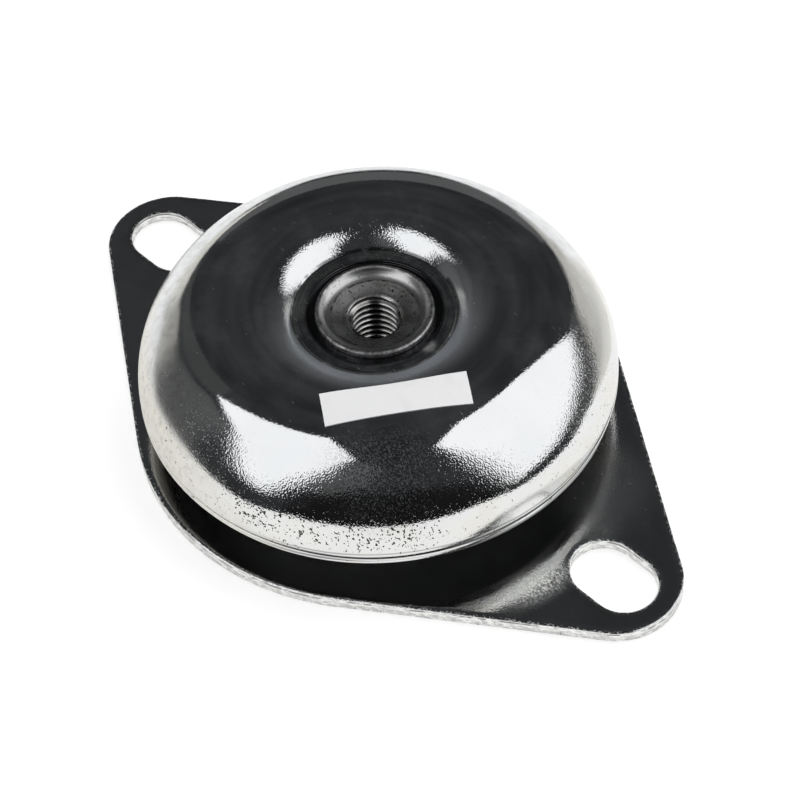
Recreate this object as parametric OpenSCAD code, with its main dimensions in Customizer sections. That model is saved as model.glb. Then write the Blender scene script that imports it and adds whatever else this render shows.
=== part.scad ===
// Dome-type anti-vibration mount: a pressed steel dome on a block of rubber, bonded to a pressed
// steel base plate with two slotted holes. Millimetres, +Z up. The origin is on the plate's
// underside, below the dome's centre, and X runs along the line through the two slots.

/* [Dome cover] */
// Outer diameter of the dome at its rim
dome_d = 106; // [98:0.5:112]
// Thickness of the dome's sheet
dome_sheet = 2.5; // [1.5:0.1:3]
// Height of the dome's crown above the plate's underside
crown_h = 37.3; // [36:0.1:42]
// Height of the rim's lower edge above the plate's underside
rim_h = 13.4; // [12:0.1:16]
// Height of the upright lip above the rim's lower edge
lip_h = 2; // [0.5:0.1:4]
// Diameter of the flat floor of the dish in the crown
dish_floor_d = 35.8; // [34:0.2:40]
// Bend radius from the crown down into the dish
dish_bend_r = 12; // [9:0.5:13]
// Steepness of the dish's wall where it meets the floor, in degrees
dish_slope = 50; // [40:1:55]
// Diameter of the groove pressed round the insert's lip
groove_d = 29.2; // [28:0.2:32]
// Depth of the groove below the floor of the dish
groove_depth = 0.5; // [0.2:0.1:0.8]

/* [Base plate] */
// Thickness of the plate's sheet
plate_t = 3; // [2:0.1:3.5]
// Distance between the centres of the two slots
slot_spacing = 141; // [138:0.5:150]
// Width of a slot
slot_w = 14.8; // [10:0.1:16]
// Length of a slot, end to end
slot_l = 20.2; // [18:0.1:22]
// Radius of the plate's rounded ends
end_r = 14.8; // [13:0.1:18]
// Radius of the plate's rounded waist
waist_r = 55.2; // [53:0.1:58]
// Radius at which the flat flange starts to rise
foot_r = 43; // [42:0.1:46]
// Bend radius at the foot of the raised centre
foot_bend_r = 5; // [4:0.1:6]
// Bend radius at the crest of the raised centre
crest_bend_r = 5; // [4:0.1:6]
// Steepness of the raised centre's wall, in degrees
wall_slope = 60; // [57:1:65]
// Height of the raised centre's top above the plate's underside
hat_h = 15; // [14:0.1:16]
// Diameter of the hole in the raised centre
hat_hole_d = 38; // [34:0.5:42]

/* [Threaded insert] */
// Diameter of the tapped bore at the crests of its M12 thread
bore_d = 10.2; // [8:0.1:11]
// Thickness of metal left under the drilled tip of the bore
bore_floor_t = 2.3; // [1.5:0.1:6]
// Diameter of the countersunk mouth
mouth_d = 12.2; // [11.5:0.1:13]
// Depth of the mouth below the top of the lip
mouth_drop = 3; // [2.4:0.1:3.4]
// Diameter of the shank that passes through the dome
shank_d = 22; // [20:0.5:23]
// Outer diameter of the lip that is riveted over the dome
lip_d = 26; // [25:0.1:27]
// Height of the lip's top above the floor of the dish
lip_rise = 1; // [0.6:0.1:1.4]
// Diameter of the shallow face inside the lip
face_d = 19.2; // [17:0.2:20]
// Depth of the face's outer edge below the top of the lip
face_drop = 1.8; // [1.2:0.1:2]
// Diameter of the collar that bears against the dome from below
collar_d = 32; // [28:0.5:34]
// Thickness of the collar
collar_t = 4; // [3:0.1:5]
// Diameter of the stem below the collar
stem_d = 24; // [22:0.5:26]
// Diameter of the spigot that carries the rebound washer
spigot_d = 17; // [15:0.5:18]
// Diameter of the spigot's riveted head
head_d = 20.5; // [20:0.1:23]
// Thickness of the spigot's riveted head
head_t = 1.2; // [0.8:0.1:1.5]

/* [Rebound washer] */
// Diameter of the washer that catches the base plate in rebound
washer_d = 50; // [46:0.5:56]
// Thickness of the washer
washer_t = 2.5; // [2:0.1:2.8]
// Thickness of the rubber buffer that lies on the washer
buffer_t = 1.5; // [1:0.1:1.8]
// Free travel in rebound, from the buffer up to the base plate
rebound_gap = 1.2; // [0.8:0.1:1.5]

/* [Rubber element] */
// Diameter of the rubber where it is bonded to the raised centre
rubber_foot_d = 58; // [52:0.5:60]
// Angle up the dome's shoulder at which the rubber ends
rubber_edge_angle = 46; // [40:1:50]
// Depth to which the rubber's free side is hollowed
rubber_hollow = 1.5; // [0.5:0.1:2.5]
// Play between the rubber and each curved metal face
rubber_play = 0.3; // [0.2:0.05:0.4]

/* [Label] */
// Length of the paper label
label_l = 31.2; // [26:0.1:36]
// Width of the paper label
label_w = 7.9; // [6:0.1:10]
// Thickness of the paper label
label_t = 0.15; // [0.1:0.01:0.3]
// Distance from the dome's axis to the label's centre
label_r = 28; // [26:0.1:30]
// Direction of the label's centre, in degrees from X
label_azimuth = -35.3; // [-60:0.5:0]

/* [Hidden] */

$fn = 120;
arc_steps = 12;
outline_steps = 24;
shoulder_steps = 30;
cut = 1;
metal_play = 0.1;
label_play = 0.03;
lip_crest_r = 0.6;
lip_inner_angle = 130;
least_step = 0.01;
drill_tip_angle = 118;

zinc = [0.74, 0.76, 0.77];
turned_steel = [0.62, 0.63, 0.64];
black_rubber = [0.07, 0.07, 0.075];
white_paper = [0.93, 0.93, 0.92];

dome_r = dome_d / 2;
dish_floor_r = dish_floor_d / 2;
dish_floor_z = crown_h - dish_bend_r * (1 - cos(dish_slope));
crown_r = dish_floor_r + dish_bend_r * sin(dish_slope);
shoulder_z = rim_h + lip_h;
shoulder_w = dome_r - crown_r;
shoulder_h = crown_h - shoulder_z;
dome_under_z = dish_floor_z - dome_sheet;

hat_hole_r = hat_hole_d / 2;
hat_under_z = hat_h - plate_t;
wall_rise = hat_h - plate_t - (foot_bend_r + crest_bend_r) * (1 - cos(wall_slope));
crest_r = foot_r - (foot_bend_r + crest_bend_r) * sin(wall_slope) - wall_rise / tan(wall_slope);
plate_reach = slot_spacing / 2 + end_r + cut;

lip_z = dish_floor_z + lip_rise;
mouth_z = lip_z - mouth_drop;
collar_z = dome_under_z - collar_t;
buffer_z = hat_under_z - rebound_gap - buffer_t;
washer_z = buffer_z - washer_t;
head_z = washer_z - head_t;

// Points along an arc, from angle a0 to angle a1
function arc(centre, r, a0, a1, steps = arc_steps) =
    [for (i = [0:steps]) let (a = a0 + (a1 - a0) * i / steps) centre + r * [cos(a), sin(a)]];

// A point on the shoulder's quarter ellipse, moved inwards along its normal by depth
function shoulder_point(angle, depth) =
    let (n = [cos(angle) / shoulder_w, sin(angle) / shoulder_h])
    [crown_r + shoulder_w * cos(angle), shoulder_z + shoulder_h * sin(angle)] - depth * n / norm(n);

// The dome's section from its shoulder over the crown into the dish, depth below its outer face
function dome_curve(depth, from_angle = 0) =
    concat(
        [for (i = [0:shoulder_steps])
            shoulder_point(from_angle + (90 - from_angle) * i / shoulder_steps, depth)],
        let (under = dish_bend_r - depth,
             level = (dish_floor_z - min(depth, dome_sheet) - crown_h + dish_bend_r) / under)
        [for (p = arc([crown_r, crown_h - dish_bend_r], under, 90, 180 - asin(level)))
            if (p[0] < crown_r - least_step) p]
    );

// The raised centre's upper face, or its lower face at a depth of the plate's thickness
function hat_curve(depth) =
    concat(
        arc([foot_r, plate_t + foot_bend_r], foot_bend_r + depth, 270, 270 - wall_slope),
        arc([crest_r, hat_h - crest_bend_r], crest_bend_r - depth, 90 - wall_slope, 90)
    );

function reversed(points) = [for (i = [len(points) - 1:-1:0]) points[i]];

// A slotted hole's outline, centred on the X axis at x
module slot_outline(x) {
    half_run = (slot_l - slot_w) / 2;
    translate([x, 0]) {
        square([2 * half_run, slot_w], center = true);
        for (side = [-1, 1])
            translate([side * half_run, 0])
                circle(d = slot_w);
    }
}

// The plate's outline: a round waist and two round ends, joined by their common tangents
module plate_outline() {
    half = slot_spacing / 2;
    tangent = acos((waist_r - end_r) / half);
    polygon(concat(
        arc([half, 0], end_r, -tangent, tangent, outline_steps),
        arc([0, 0], waist_r, tangent, 180 - tangent, outline_steps),
        arc([-half, 0], end_r, 180 - tangent, 180 + tangent, outline_steps),
        arc([0, 0], waist_r, 180 + tangent, 360 - tangent, outline_steps)
    ));
}

// Pressed steel plate: flat flange, raised centre with a hole, and two slots
module base_plate() {
    color(zinc)
    intersection() {
        rotate_extrude()
            polygon(concat(
                [[plate_reach, 0], [plate_reach, plate_t]],
                hat_curve(0),
                [[hat_hole_r, hat_h], [hat_hole_r, hat_under_z]],
                reversed(hat_curve(plate_t))
            ));
        difference() {
            translate([0, 0, -cut])
                linear_extrude(hat_h + 2 * cut)
                    plate_outline();
            for (side = [-1, 1])
                translate([0, 0, -2 * cut])
                    linear_extrude(hat_h + 4 * cut)
                        slot_outline(side * slot_spacing / 2);
        }
    }
}

// Block of rubber bonded between the raised centre, the dome and the insert
module rubber_element() {
    foot = [rubber_foot_d / 2, hat_h];
    edge = shoulder_point(rubber_edge_angle, dome_sheet + rubber_play);
    chord = edge - foot;
    inward = [-chord[1], chord[0]] / norm(chord);
    free_side = [for (i = [1:arc_steps - 1]) let (s = i / arc_steps)
        foot + s * chord + rubber_hollow * sin(180 * s) * inward];
    collar_r = collar_d / 2 + rubber_play;
    stem_r = stem_d / 2 + rubber_play;
    neck_r = hat_hole_r - rubber_play;
    color(black_rubber)
    rotate_extrude()
        polygon(concat(
            [[neck_r, hat_under_z], [neck_r, hat_h], foot],
            free_side,
            dome_curve(dome_sheet + rubber_play, rubber_edge_angle),
            [[collar_r, dome_under_z], [collar_r, collar_z], [stem_r, collar_z],
             [stem_r, hat_under_z]]
        ));
}

// Pressed steel dome with an upright lip at its rim and a dish in its crown
module dome_cover() {
    hole_r = shank_d / 2 + metal_play;
    color(zinc)
    rotate_extrude()
        polygon(concat(
            [[dome_r, rim_h]],
            dome_curve(0),
            [[dish_floor_r, dish_floor_z], [groove_d / 2, dish_floor_z],
             [groove_d / 2, dish_floor_z - groove_depth], [hole_r, dish_floor_z - groove_depth],
             [hole_r, dome_under_z]],
            reversed(dome_curve(dome_sheet)),
            [[dome_r - dome_sheet, rim_h]]
        ));
}

// Turned steel insert: riveted lip, dished face, tapped blind bore, collar, stem and spigot
module threaded_insert() {
    lip_r = lip_d / 2;
    lip_foot_z = dish_floor_z - groove_depth;
    bore_r = bore_d / 2;
    tip_z = head_z + bore_floor_t;
    bore_end_z = tip_z + bore_r / tan(drill_tip_angle / 2);
    thread_top_z = mouth_z - (mouth_d - bore_d) / 2;
    color(turned_steel)
    rotate_extrude()
        polygon(concat(
            [[0, tip_z], [bore_r, bore_end_z], [bore_r, thread_top_z],
             [mouth_d / 2, mouth_z], [face_d / 2, lip_z - face_drop]],
            reversed(arc([lip_r - lip_crest_r, lip_z - lip_crest_r], lip_crest_r, 0,
                         lip_inner_angle)),
            [[lip_r, lip_foot_z], [shank_d / 2, lip_foot_z],
             [shank_d / 2, dome_under_z], [collar_d / 2, dome_under_z],
             [collar_d / 2, collar_z], [stem_d / 2, collar_z], [stem_d / 2, washer_z + washer_t],
             [spigot_d / 2, washer_z + washer_t], [spigot_d / 2, washer_z],
             [head_d / 2, washer_z], [head_d / 2, head_z], [0, head_z]]
        ));
}

// A flat ring, from height z upwards
module ring(outer_d, inner_d, z, t) {
    translate([0, 0, z])
        difference() {
            cylinder(d = outer_d, h = t);
            translate([0, 0, -cut])
                cylinder(d = inner_d, h = t + 2 * cut);
        }
}

// Steel washer on the insert's spigot, which catches the base plate in rebound
module rebound_washer() {
    color(zinc)
        ring(washer_d, spigot_d + 2 * metal_play, washer_z, washer_t);
}

// Rubber ring that lies on the washer and softens the stop
module rebound_buffer() {
    color(black_rubber)
        ring(washer_d, stem_d + 2 * metal_play, buffer_z, buffer_t);
}

// Blank paper label stuck to the front of the crown, bent to the dome's curve
module label() {
    color(white_paper)
    intersection() {
        rotate_extrude()
            polygon(concat(
                dome_curve(-label_play),
                reversed(dome_curve(-label_play - label_t))
            ));
        rotate([0, 0, label_azimuth])
            translate([label_r - label_w / 2, -label_l / 2, shoulder_z])
                cube([label_w, label_l, shoulder_h + cut]);
    }
}

base_plate();
rubber_element();
dome_cover();
threaded_insert();
rebound_washer();
rebound_buffer();
label();
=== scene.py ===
# %% [markdown]
# The object is a dome anti-vibration mount, such as an engine stands on. A pressed steel dome sits
# on a hidden block of rubber, and the rubber is bonded to a pressed steel plate with two slotted
# holes. A turned steel insert with an M12 thread is riveted into the dished top of the dome.
# This lesson dresses the imported model of that mount. Each of its seven pieces is made again as a
# finer mesh in the same place, with the finish of the real piece, and all but the rubber hang from an
# empty named for their body.

import math

import bmesh
import bpy
from mathutils import Matrix, Vector, noise
from mathutils.geometry import delaunay_2d_cdt


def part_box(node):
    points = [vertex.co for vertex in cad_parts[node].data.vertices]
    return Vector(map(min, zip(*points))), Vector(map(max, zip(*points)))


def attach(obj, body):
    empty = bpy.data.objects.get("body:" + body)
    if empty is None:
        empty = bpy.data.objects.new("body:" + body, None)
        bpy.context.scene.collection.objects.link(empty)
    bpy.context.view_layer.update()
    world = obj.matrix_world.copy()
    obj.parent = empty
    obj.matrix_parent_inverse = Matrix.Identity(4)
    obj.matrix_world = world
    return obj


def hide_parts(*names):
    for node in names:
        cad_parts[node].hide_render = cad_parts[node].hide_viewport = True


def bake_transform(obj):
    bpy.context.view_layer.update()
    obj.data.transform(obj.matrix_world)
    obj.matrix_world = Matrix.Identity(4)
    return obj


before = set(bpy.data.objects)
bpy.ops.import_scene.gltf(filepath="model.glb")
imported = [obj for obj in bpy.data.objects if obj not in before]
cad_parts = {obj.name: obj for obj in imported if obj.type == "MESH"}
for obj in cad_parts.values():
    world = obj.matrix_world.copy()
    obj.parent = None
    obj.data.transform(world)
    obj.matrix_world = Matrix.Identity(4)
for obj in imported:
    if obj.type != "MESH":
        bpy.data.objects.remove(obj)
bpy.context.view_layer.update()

# %% [markdown]
# Every size is in metres, so a millimetre gets a name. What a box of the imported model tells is
# taken from that box, and the pieces then meet where the construction says that they meet.

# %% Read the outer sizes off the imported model
mm = 0.001
dome_low, dome_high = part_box("dome_cover")
plate_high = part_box("base_plate")[1]
insert_low, insert_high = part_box("threaded_insert")
washer_low, washer_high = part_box("rebound_washer")
buffer_low, buffer_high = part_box("rebound_buffer")
dome_r = dome_high.x
rim_z = dome_low.z
crown_z = dome_high.z
raised_z = plate_high.z
waist_r = plate_high.y
lip_top_z = insert_high.z
print(f"dome {2 * dome_r / mm:.1f} mm wide, crown at {crown_z / mm:.1f} mm, rim at {rim_z / mm:.1f} mm")

# %% [markdown]
# Most pieces of this mount are round, so most of the work is drawing half a section and turning it
# about the axis. Three helpers do that. The first gives points along an arc. The second rounds the
# corners of a section, because no real edge is sharp, and adds a guard point on each side of a
# corner, so that the flat faces beside it still shade flat. The third turns the section.

# %% Helpers for sections
def arc(centre, radius, start, end, steps):
    """Points along an arc in the plane of radius and height, from angle start to angle end."""
    angles = [math.radians(start + (end - start) * i / steps) for i in range(steps + 1)]
    return [(centre[0] + radius * math.cos(a), centre[1] + radius * math.sin(a)) for a in angles]


def rounded(corners, closed=True, steps=4, guard=0.35):
    """Rounds each (radius, height, fillet) corner of a section and adds guard points beside it."""
    points = []
    count = len(corners)
    for i, (x, z, fillet) in enumerate(corners):
        at_end = not closed and i in (0, count - 1)
        if fillet == 0 or at_end:
            points.append((x, z))
            continue
        here = Vector((x, z))
        back = (Vector(corners[i - 1][:2]) - here).normalized()
        on = (Vector(corners[(i + 1) % count][:2]) - here).normalized()
        turn = math.pi - back.angle(on)
        reach = fillet * math.tan(turn / 2)
        centre = here + (back + on).normalized() * (fillet / math.cos(turn / 2))
        first = here + back * reach - centre
        side = 1 if back.x * on.y - back.y * on.x < 0 else -1
        points.append(tuple(here + back * reach * (1 + guard)))
        for k in range(steps + 1):
            a = side * turn * k / steps
            spin = Matrix(((math.cos(a), -math.sin(a)), (math.sin(a), math.cos(a))))
            points.append(tuple(centre + spin @ first))
        points.append(tuple(here + on * reach * (1 + guard)))
    return points


# %% Helpers for meshes
def add_piece(name, points, faces, materials, sharp=35, weld=0.2 * 1e-6):
    """Makes a welded mesh with outward faces. A face is a tuple of point numbers."""
    mesh = bpy.data.meshes.new(name)
    mesh.from_pydata([tuple(p) for p in points], [], faces)
    for material in materials:
        mesh.materials.append(material)
    shape = bmesh.new()
    shape.from_mesh(mesh)
    bmesh.ops.remove_doubles(shape, verts=shape.verts, dist=weld)
    bmesh.ops.recalc_face_normals(shape, faces=shape.faces)
    open_edges = sum(1 for e in shape.edges if not e.is_manifold)
    shape.to_mesh(mesh)
    shape.free()
    mesh.shade_smooth()
    mesh.set_sharp_from_angle(angle=math.radians(sharp))
    piece = bpy.data.objects.new(name, mesh)
    bpy.context.scene.collection.objects.link(piece)
    triangles = sum(len(p.vertices) - 2 for p in mesh.polygons)
    print(f"{name}: {triangles} triangles, {open_edges} open edges")
    return piece


def turned(section, turns=240, closed=True, shape=None):
    """Turns a section about Z. Returns points and faces. shape may move each point a little."""
    points = []
    rows = len(section)
    for i in range(turns):
        a = 2 * math.pi * i / turns
        for r, z in section:
            p = Vector((r * math.cos(a), r * math.sin(a), z))
            points.append(shape(p) if shape else p)
    faces = []
    for i in range(turns):
        here = i * rows
        there = (i + 1) % turns * rows
        for k in range(rows if closed else rows - 1):
            n = (k + 1) % rows
            faces.append((here + k, there + k, there + n, here + n))
    return points, faces


def paint(piece, slots):
    """Gives each face its material slot. It counts first that welding has kept every face."""
    kept = len(piece.data.polygons) == len(slots)
    print(f"{piece.name}: {sum(1 for s in slots if s)} faces painted, every face kept: {kept}")
    if kept:
        piece.data.polygons.foreach_set("material_index", slots)


def seat(piece, body, node, slot):
    """Lets a piece ride on its body in place of its node. slot is not used."""
    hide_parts(node)
    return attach(piece, body)


# %% [markdown]
# A finish is a small tree of nodes. Metal that looks real is never one grey: its gloss changes from
# place to place, its plating has pits and its surface is scratched. Each of those is a pattern
# between 0 and 1, made from the piece's own coordinates in metres, so a scale of 1000 has one
# feature a millimetre. The helpers below keep each pattern to a line or two where it is used.

# %% Helpers for finishes
class Finish:
    """A material whose nodes are added one line at a time."""

    def __init__(self, name):
        self.material = bpy.data.materials.new(name)
        self.material.use_nodes = True
        self.tree = self.material.node_tree
        self.surface = self.tree.nodes["Principled BSDF"]
        self.place = self.add("TexCoord").outputs["Object"]

    def add(self, kind, inputs=None, **settings):
        """Adds a node. Each input is a value, or the output socket that feeds it."""
        node = self.tree.nodes.new("ShaderNode" + kind)
        for key, value in settings.items():
            setattr(node, key, value)
        for socket, value in (inputs or {}).items():
            if isinstance(value, bpy.types.NodeSocket):
                self.tree.links.new(value, node.inputs[socket])
            else:
                node.inputs[socket].default_value = value
        return node

    def math(self, operation, a, b=0.0):
        return self.add("Math", {0: a, 1: b}, operation=operation).outputs[0]

    def range(self, value, low, high):
        """0 where value is at low, 1 where it is at high, and smooth between. low may be above high."""
        return self.add("MapRange", {"Value": value, "From Min": low, "From Max": high},
                        interpolation_type="SMOOTHSTEP").outputs[0]

    def cloud(self, scale, detail=2.0, place=None, roughness=0.5):
        """Soft noise between 0 and 1, with scale features a metre."""
        place = place or self.place
        inputs = {"Vector": place, "Scale": scale, "Detail": detail, "Roughness": roughness}
        return self.add("TexNoise", inputs).outputs[0]

    def stretched(self, sizes, turn=0.0, place=None):
        """The coordinates turned about Z, in degrees, and scaled along each axis."""
        inputs = {"Vector": place or self.place, "Rotation": (0, 0, math.radians(turn)), "Scale": sizes}
        return self.add("Mapping", inputs).outputs[0]

    def height(self):
        return self.add("SeparateXYZ", {0: self.place}).outputs[2]

    def radius(self):
        """Distance from the axis."""
        flat = self.stretched((1.0, 1.0, 0.0))
        return self.add("VectorMath", {0: flat}, operation="LENGTH").outputs["Value"]

    def round_place(self, across, around, up):
        """Coordinates that run with the radius, round the axis and up, for marks left by turning."""
        parts = self.add("SeparateXYZ", {0: self.place})
        turn = self.math("ARCTAN2", parts.outputs[1], parts.outputs[0])
        inputs = {0: self.math("MULTIPLY", self.radius(), across), 1: self.math("MULTIPLY", turn, around),
                  2: self.math("MULTIPLY", parts.outputs[2], up)}
        return self.add("CombineXYZ", inputs).outputs[0]

    def band(self, value, middle, inner, outer):
        """1 where value is within inner of middle, and 0 past outer."""
        away = self.math("ABSOLUTE", self.sum(value, -middle))
        return self.range(away, outer, inner)

    def near(self, point, inner, outer):
        """1 within inner metres of a point, and 0 past outer metres."""
        away = self.add("VectorMath", {0: self.place, 1: point}, operation="DISTANCE").outputs["Value"]
        return self.range(away, outer, inner)

    def pits(self, size, share, place=None):
        """Small round spots of about size metres, in that share of the cells of a grid."""
        inputs = {"Vector": place or self.place, "Scale": 0.5 / size, "Randomness": 1.0}
        cells = self.add("TexVoronoi", inputs)
        number = self.add("SeparateColor", {0: cells.outputs["Color"]}).outputs[0]
        chosen = self.math("LESS_THAN", number, share)
        spot = self.range(cells.outputs["Distance"], 0.42, 0.22)
        return self.math("MULTIPLY", spot, chosen)

    def dashes(self, turn, length, width, share):
        """Short straight scratches that run in one direction."""
        shape = (0.5 / length, 0.5 / width, 0.5 / length)
        return self.pits(0.5, share, self.stretched(shape, turn))

    def ticks(self, turn, length, width):
        """Noise between 0 and 1 whose specks are long in one direction."""
        return self.cloud(1.0, 1.0, self.stretched((0.7 / length, 0.7 / width, 0.7 / length), turn))

    def crossed(self, one, other):
        """Specks that run in two directions. Each is a turn in degrees, a length and a width."""
        return self.most(self.ticks(*one), self.ticks(*other))

    def sum(self, *parts):
        total = parts[0]
        for part in parts[1:]:
            total = self.math("ADD", total, part)
        return total

    def product(self, *parts):
        total = parts[0]
        for part in parts[1:]:
            total = self.math("MULTIPLY", total, part)
        return total

    def most(self, *parts):
        total = parts[0]
        for part in parts[1:]:
            total = self.math("MAXIMUM", total, part)
        return total

    def mix(self, factor, a, b):
        """Between colour a, where factor is 0, and colour b, where it is 1."""
        node = self.add("Mix", data_type="RGBA")
        for socket, value in ((node.inputs[0], factor), (node.inputs[6], a), (node.inputs[7], b)):
            if isinstance(value, bpy.types.NodeSocket):
                self.tree.links.new(value, socket)
            else:
                socket.default_value = (*value, 1.0)
        return node.outputs[2]

    def weighed(self, base, *parts):
        """Adds patterns to a base. Each part is a pattern and its share."""
        for pattern, share in parts:
            base = self.sum(base, self.product(pattern, share))
        return base

    def coats(self, base, *layers):
        """Lays colours on a base colour. Each layer is a pattern and the colour where it is 1."""
        for pattern, colour in layers:
            base = self.mix(pattern, base, colour)
        return base

    def bump(self, height, depth, below=None):
        """Raises the surface by height times depth metres, on top of the bump below it."""
        inputs = {"Height": height, "Distance": depth, "Strength": 1.0}
        if below:
            inputs["Normal"] = below
        return self.add("Bump", inputs).outputs[0]

    def set(self, **sockets):
        """Links or sets the shader's own sockets, by name with _ for a space."""
        for name, value in sockets.items():
            socket = self.surface.inputs[name.replace("_", " ")]
            if isinstance(value, bpy.types.NodeSocket):
                self.tree.links.new(value, socket)
            else:
                socket.default_value = value
        return self.material


# %% [markdown]
# The dome and the plate are bright zinc over pressed steel. In the photograph the zinc mirrors a
# dark room, so it looks nearly black, and only the lamps and the white table shine in it. The
# edges of those reflections are furry, because the plating has a grain: short crossed specks, about
# half a millimetre long, with a finer grain between them. Both are noise that raises the surface a
# little. The finer one is as small as the camera can tell apart, and no smaller, because noise
# below that size only blurs a reflection.

# %% Grain of the zinc
clean_zinc = (0.74, 0.75, 0.76)
pit_colour = (0.055, 0.048, 0.042)
finest_seen = 2800.0


def zinc_grain(finish, strength, sparkle):
    """The bump of the plating. strength and sparkle are numbers or patterns for its two layers."""
    specks = finish.crossed((20.0, 0.40 * mm, 0.19 * mm), (-55.0, 0.36 * mm, 0.19 * mm))
    fine = finish.cloud(finest_seen, 0.0)
    skin = finish.product(finish.sum(finish.product(specks, 0.45), fine), strength)
    sparks = finish.product(finish.range(specks, 0.62, 0.76), sparkle)
    lift = finish.bump(finish.cloud(260.0, 2.0), 0.006 * mm)
    lift = finish.bump(skin, 0.014 * mm, lift)
    return finish.bump(sparks, 0.004 * mm, lift)


print(f"the finest grain is {1 / finest_seen / mm:.2f} mm")

# %% [markdown]
# The dome's plating differs from place to place, and that is most of what makes it look real. So
# its finish starts with regions. A few follow the height or the distance from the axis, because the
# dome is round. The rest lie round a place, and those places come first, in millimetres.

# %% Places on the dome
def at(x, y, z):
    """A place, from its three coordinates in millimetres."""
    return (x * mm, y * mm, z * mm)


skirt_front = at(44.0, -12.0, 22.0)
rubbed_dish = at(16.8, -10.8, 34.0)
# The place of a painted highlight, a small pale spot in the dish.
painted_highlight_spot = at(15.2, 1.0, 32.8)
wet_left = at(15.0, -50.0, 20.5)
wet_right = at(41.0, -32.0, 21.0)
wet_middle = at(29.0, -43.0, 22.0)
scuffed_lip = at(46.0, -20.0, 14.0)
# Places of the painted glints, beside the lamps' reflections.
painted_glints_right = at(45.5, 18.0, 25.0)
painted_glints_left = at(-3.6, -42.0, 27.0)
gritty_front = at(31.6, -29.1, 31.8)
print(f"the skirt's front is {math.hypot(*skirt_front[:2]) / mm:.1f} mm from the axis")

# %% Regions of the dome
zinc = Finish("dome zinc")
height = zinc.height()
radius = zinc.radius()
skirt = zinc.range(height, 28.0 * mm, 20.0 * mm)
slope = zinc.range(height, 35.0 * mm, 28.0 * mm)
duller = zinc.range(height, 24.5 * mm, 19.5 * mm)
lip = zinc.range(height, 17.2 * mm, 16.2 * mm)
dish = zinc.range(radius, 29.0 * mm, 24.0 * mm)
dish_floor = zinc.range(radius, 18.4 * mm, 17.6 * mm)
# The groove round the insert, which is darkened below as dirt and painted shade.
groove_dirt_and_shade = zinc.product(zinc.range(radius, 15.6 * mm, 14.6 * mm), zinc.range(radius, 10.0 * mm, 11.0 * mm))
front = zinc.near(skirt_front, 38.0 * mm, 80.0 * mm)
furry = zinc.product(zinc.range(height, 35.0 * mm, 30.0 * mm), zinc.range(front, 0.15, 0.75),
                     zinc.range(height, 23.8 * mm, 27.2 * mm))
print("regions of the dome's finish:", len(zinc.tree.nodes), "nodes")

# %% [markdown]
# Away from the front the zinc has tarnished under a thin cream-coloured film with brown mottles. In
# the dish the riveting tool rubbed one side to a bluish haze, and a pale spot there is a painted highlight.

# %% Tarnish, film, haze and a painted highlight
aged = zinc.product(zinc.range(height, 35.0 * mm, 31.0 * mm), zinc.range(front, 1.0, 0.0))
tarnish = zinc.product(aged, zinc.range(zinc.cloud(380.0, 5.0, roughness=0.7), 0.40, 0.66), 0.5)
creamy = zinc.product(aged, zinc.range(height, 30.0 * mm, 22.0 * mm))
mottle = zinc.product(creamy, zinc.range(zinc.cloud(650.0, 4.0, roughness=0.65), 0.48, 0.72), 0.55)
stain = zinc.product(skirt, zinc.range(zinc.cloud(75.0, 3.0), 0.45, 0.70))
clouds = zinc.range(zinc.cloud(60.0, 5.0, roughness=0.6), 0.35, 0.65)
film = zinc.range(zinc.cloud(55.0, 7.0, roughness=0.7), 0.44, 0.74)
haze_and_highlight = zinc.product(zinc.range(radius, 27.0 * mm, 19.0 * mm), zinc.range(radius, 17.2 * mm, 18.2 * mm),
                    zinc.near(rubbed_dish, 12.0 * mm, 38.0 * mm))
# The painted highlight spot is added to the rubbed haze.
haze_and_highlight = zinc.most(haze_and_highlight, zinc.product(zinc.near(painted_highlight_spot, 0.4 * mm, 2.6 * mm), 0.8))
print("with tarnish, film and haze:", len(zinc.tree.nodes), "nodes")

# %% [markdown]
# Where water stood on the skirt, the zinc is eaten through in small dark pits. They gather in
# groups, so a slow noise and the wet places push a fine one over the level at which a pit shows.

# %% Pits of the skirt
wet = zinc.most(zinc.near(wet_left, 1.0 * mm, 12.0 * mm), zinc.near(wet_right, 1.0 * mm, 13.0 * mm),
                zinc.product(zinc.near(wet_middle, 8.0 * mm, 28.0 * mm), 0.70))
wet = zinc.product(wet, zinc.range(height, 15.0 * mm, 20.5 * mm), zinc.range(height, 24.8 * mm, 22.8 * mm))
specks = zinc.crossed((35.0, 0.52 * mm, 0.38 * mm), (-50.0, 0.60 * mm, 0.36 * mm))
pits = zinc.weighed(specks, (wet, 0.12), (zinc.cloud(330.0, 2.0), 0.16))
pits = zinc.product(zinc.range(pits, 0.815, 0.845), zinc.range(height, 27.0 * mm, 24.0 * mm))
print("with pits:", len(zinc.tree.nodes), "nodes")

# %% [markdown]
# The lip at the rim is scuffed round and round. The floor of the dish has rings from the riveting tool
# and smears. Painted shade darkens the crease above the lip and a broken line round the edge of the
# dish floor, and the groove round the insert is darkened as dirt and painted shade.

# %% Scuffs, rings, smears and painted shade
scuffed = zinc.near(scuffed_lip, 30.0 * mm, 52.0 * mm)
lines = zinc.cloud(1.0, 2.0, zinc.round_place(0.0, 1.1, 1900.0))
scuffs = zinc.product(lip, zinc.range(lines, 0.46, 0.56), scuffed, 0.85)
# Painted shade: a fine dark line in the crease above the lip.
crease_shade = zinc.product(zinc.band(height, 15.4 * mm, 0.14 * mm, 0.34 * mm), scuffed, 0.85)
rings = zinc.cloud(1.0, 2.0, zinc.round_place(5200.0, 1.3, 0.0))
worn = zinc.product(dish_floor, zinc.range(rings, 0.62, 0.44), 0.6)
smears = zinc.range(zinc.cloud(230.0, 6.0, roughness=0.7), 0.38, 0.62)
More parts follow.
